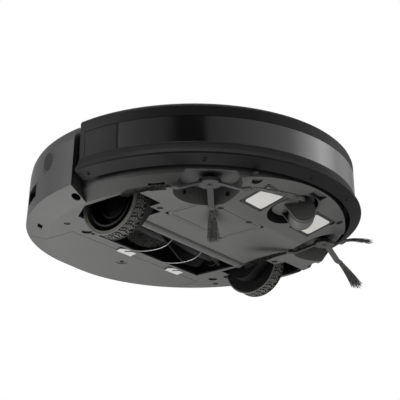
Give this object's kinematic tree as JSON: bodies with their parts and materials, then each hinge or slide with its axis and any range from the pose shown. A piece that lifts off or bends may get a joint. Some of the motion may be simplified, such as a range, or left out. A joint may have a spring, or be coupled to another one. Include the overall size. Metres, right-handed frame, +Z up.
{
  "type": "robot vacuum",
  "caption": "Low round robot vacuum on sprung drive wheels and a front caster, with a bow bumper, side brushes, a guarded roller brush and a slide-out rear dustbin.",
  "frame": {"origin": "centre of the round body, on the flat underside", "axes": "+Z up; -Y to the front, where the bumper is; +X to the robot's left, along the wheel hinges"},
  "size_m": [0.34, 0.3382, 0.0991],
  "materials": {
    "shell_black": "fine spark-eroded texture",
    "underside_grey": "fine matt texture",
    "deck_black": "satin",
    "window_black": "polished, passes infra-red",
    "wall_charcoal": "fine moulded",
    "button_black": "satin",
    "contact_silver": "satin nickel plate",
    "contact_frame": "matt",
    "battery_blue": "shrink sleeve over metal cells",
    "steel": "drawn",
    "screw_black": "blackened",
    "spring_steel": "oiled wire",
    "switch_plastic": "moulded",
    "inner_black": "plain moulded",
    "caster_grey": "smooth moulded",
    "brush_legs": "soft elastomer",
    "roller_plastic": "moulded",
    "bristle_black": "nylon bristle",
    "rubber_black": "soft rubber",
    "brass": "sintered bush",
    "motor_steel": "drawn can",
    "latch_silver": "satin silver",
    "filter_white": "pleated paper",
    "board_green": "solder resist",
    "tyre": "soft moulded rubber",
    "wheel_plastic": "moulded"
  },
  "bodies": {
    "base": {"lower_chassis": "underside_grey", "body_shell": "wall_charcoal", "top_cover": "deck_black", "battery_cover": "underside_grey", "battery_pack": "battery_blue", "charging_contacts": "contact_silver", "contact_frames": "contact_frame", "bump_switches": "switch_plastic", "bumper_springs": "spring_steel", "caster_housing": "inner_black", "side_brush_motors": "motor_steel", "brush_housing": "inner_black", "roller_bearing": "brass", "drive_belt": "rubber_black", "brush_motor": "motor_steel", "fan_housing": "inner_black", "fan_motor": "motor_steel", "main_board": "board_green", "speaker": "switch_plastic", "speaker_grille": "wall_charcoal", "dc_jack": "steel", "cliff_sensors": "window_black", "chassis_screws": "screw_black", "suspension_pins": "steel", "suspension_springs": "spring_steel", "left_wheel_housing": "inner_black", "right_wheel_housing": "inner_black"},
    "bumper": {"bumper_shell": "shell_black", "bumper_window": "window_black", "bumper_side_windows": "shell_black", "bumper_lip": "shell_black", "bumper_screws": "screw_black"},
    "left_suspension": {"left_wheel_arm": "wheel_plastic"},
    "right_suspension": {"right_wheel_arm": "wheel_plastic"},
    "left_wheel": {"left_wheel_hub": "wheel_plastic", "left_tyre": "tyre"},
    "right_wheel": {"right_wheel_hub": "wheel_plastic", "right_tyre": "tyre"},
    "caster_fork": {"caster_fork": "caster_grey", "caster_axle": "steel"},
    "caster_wheel": {"caster_wheel": "caster_grey"},
    "left_side_brush": {"left_side_brush": "brush_legs"},
    "right_side_brush": {"right_side_brush": "brush_legs"},
    "main_brush": {"roller_core": "roller_plastic", "roller_bristles": "bristle_black", "roller_blades": "rubber_black", "brush_pulley": "roller_plastic"},
    "brush_drive": {"motor_pulley": "steel"},
    "brush_guard": {"brush_guard": "underside_grey", "guard_wires": "steel"},
    "right_latch": {"guard_latch_right": "latch_silver"},
    "left_latch": {"guard_latch_left": "latch_silver"},
    "dustbin": {"dustbin_body": "underside_grey", "dustbin_lid": "shell_black", "dust_filter": "filter_white", "bin_screw": "screw_black"},
    "bin_button": {"bin_button": "button_black"},
    "start_button": {"start_button": "button_black"},
    "power_switch": {"power_switch": "switch_plastic"},
    "fan": {"fan_impeller": "roller_plastic"}
  },
  "joints": [
    {"name": "bumper_slide", "type": "slide", "parent": "base", "child": "bumper", "axis": [0, 1, 0], "range_m": [0, 0.004], "stiffness_N_per_m": 350, "deforming": ["bumper_springs"]},
    {"name": "left_suspension_hinge", "type": "hinge", "parent": "base", "child": "left_suspension", "pos_m": [0.097, -0.038, 0.028], "axis": [1, 0, 0], "range_deg": [0, 26], "stiffness_Nm_per_rad": 0.9, "springref_deg": -20.05, "deforming": ["suspension_springs"]},
    {"name": "right_suspension_hinge", "type": "hinge", "parent": "base", "child": "right_suspension", "pos_m": [-0.097, -0.038, 0.028], "axis": [1, 0, 0], "range_deg": [0, 26], "stiffness_Nm_per_rad": 0.9, "springref_deg": -20.05, "deforming": ["suspension_springs"]},
    {"name": "left_wheel_spin", "type": "hinge", "parent": "left_suspension", "child": "left_wheel", "pos_m": [0.115, 0.003, 0.008], "axis": [1, 0, 0], "continuous": true},
    {"name": "right_wheel_spin", "type": "hinge", "parent": "right_suspension", "child": "right_wheel", "pos_m": [-0.115, 0.003, 0.008], "axis": [1, 0, 0], "continuous": true},
    {"name": "caster_swivel", "type": "hinge", "parent": "base", "child": "caster_fork", "pos_m": [0, -0.119, 0.035], "axis": [0, 0, 1], "continuous": true},
    {"name": "caster_roll", "type": "hinge", "parent": "caster_fork", "child": "caster_wheel", "pos_m": [0.00523, -0.1257, 0.0035], "axis": [-0.788, -0.6157, 0], "continuous": true},
    {"name": "left_side_brush_spin", "type": "hinge", "parent": "base", "child": "left_side_brush", "pos_m": [0.0995, -0.095, 0.012], "axis": [0, 0, -1], "continuous": true},
    {"name": "right_side_brush_spin", "type": "hinge", "parent": "base", "child": "right_side_brush", "pos_m": [-0.0995, -0.095, 0.012], "axis": [0, 0, 1], "continuous": true},
    {"name": "main_brush_spin", "type": "hinge", "parent": "base", "child": "main_brush", "pos_m": [0, 0.0305, 0.0155], "axis": [1, 0, 0], "continuous": true},
    {"name": "brush_motor_spin", "type": "hinge", "parent": "base", "child": "brush_drive", "pos_m": [-0.0797, 0.058, 0.055], "axis": [1, 0, 0], "continuous": true},
    {"name": "guard_lift", "type": "slide", "parent": "base", "child": "brush_guard", "axis": [0, 0, -1], "range_m": [0, 0.05]},
    {"name": "right_latch_slide", "type": "slide", "parent": "brush_guard", "child": "right_latch", "axis": [0, 1, 0], "range_m": [0, 0.0025]},
    {"name": "left_latch_slide", "type": "slide", "parent": "brush_guard", "child": "left_latch", "axis": [0, 1, 0], "range_m": [0, 0.0025]},
    {"name": "dustbin_pull", "type": "slide", "parent": "base", "child": "dustbin", "axis": [0, 1, 0], "range_m": [0, 0.13]},
    {"name": "bin_button_press", "type": "slide", "parent": "dustbin", "child": "bin_button", "axis": [0, -1, 0], "range_m": [0, 0.0025], "stiffness_N_per_m": 600},
    {"name": "start_button_press", "type": "slide", "parent": "base", "child": "start_button", "axis": [0, 0, -1], "range_m": [0, 0.0008], "stiffness_N_per_m": 1500, "springref_m": -0.0002},
    {"name": "power_switch_tilt", "type": "hinge", "parent": "base", "child": "power_switch", "pos_m": [-0.12994, 0.08566, 0.0285], "axis": [0, 0, 1], "range_deg": [-6, 6]},
    {"name": "fan_spin", "type": "hinge", "parent": "base", "child": "fan", "pos_m": [0.05, 0.036, 0.055], "axis": [0, 0, 1], "continuous": true}
  ],
  "couplings": [
    {"joint": "brush_motor_spin", "follows": "main_brush_spin", "ratio": 2.5}
  ]
}
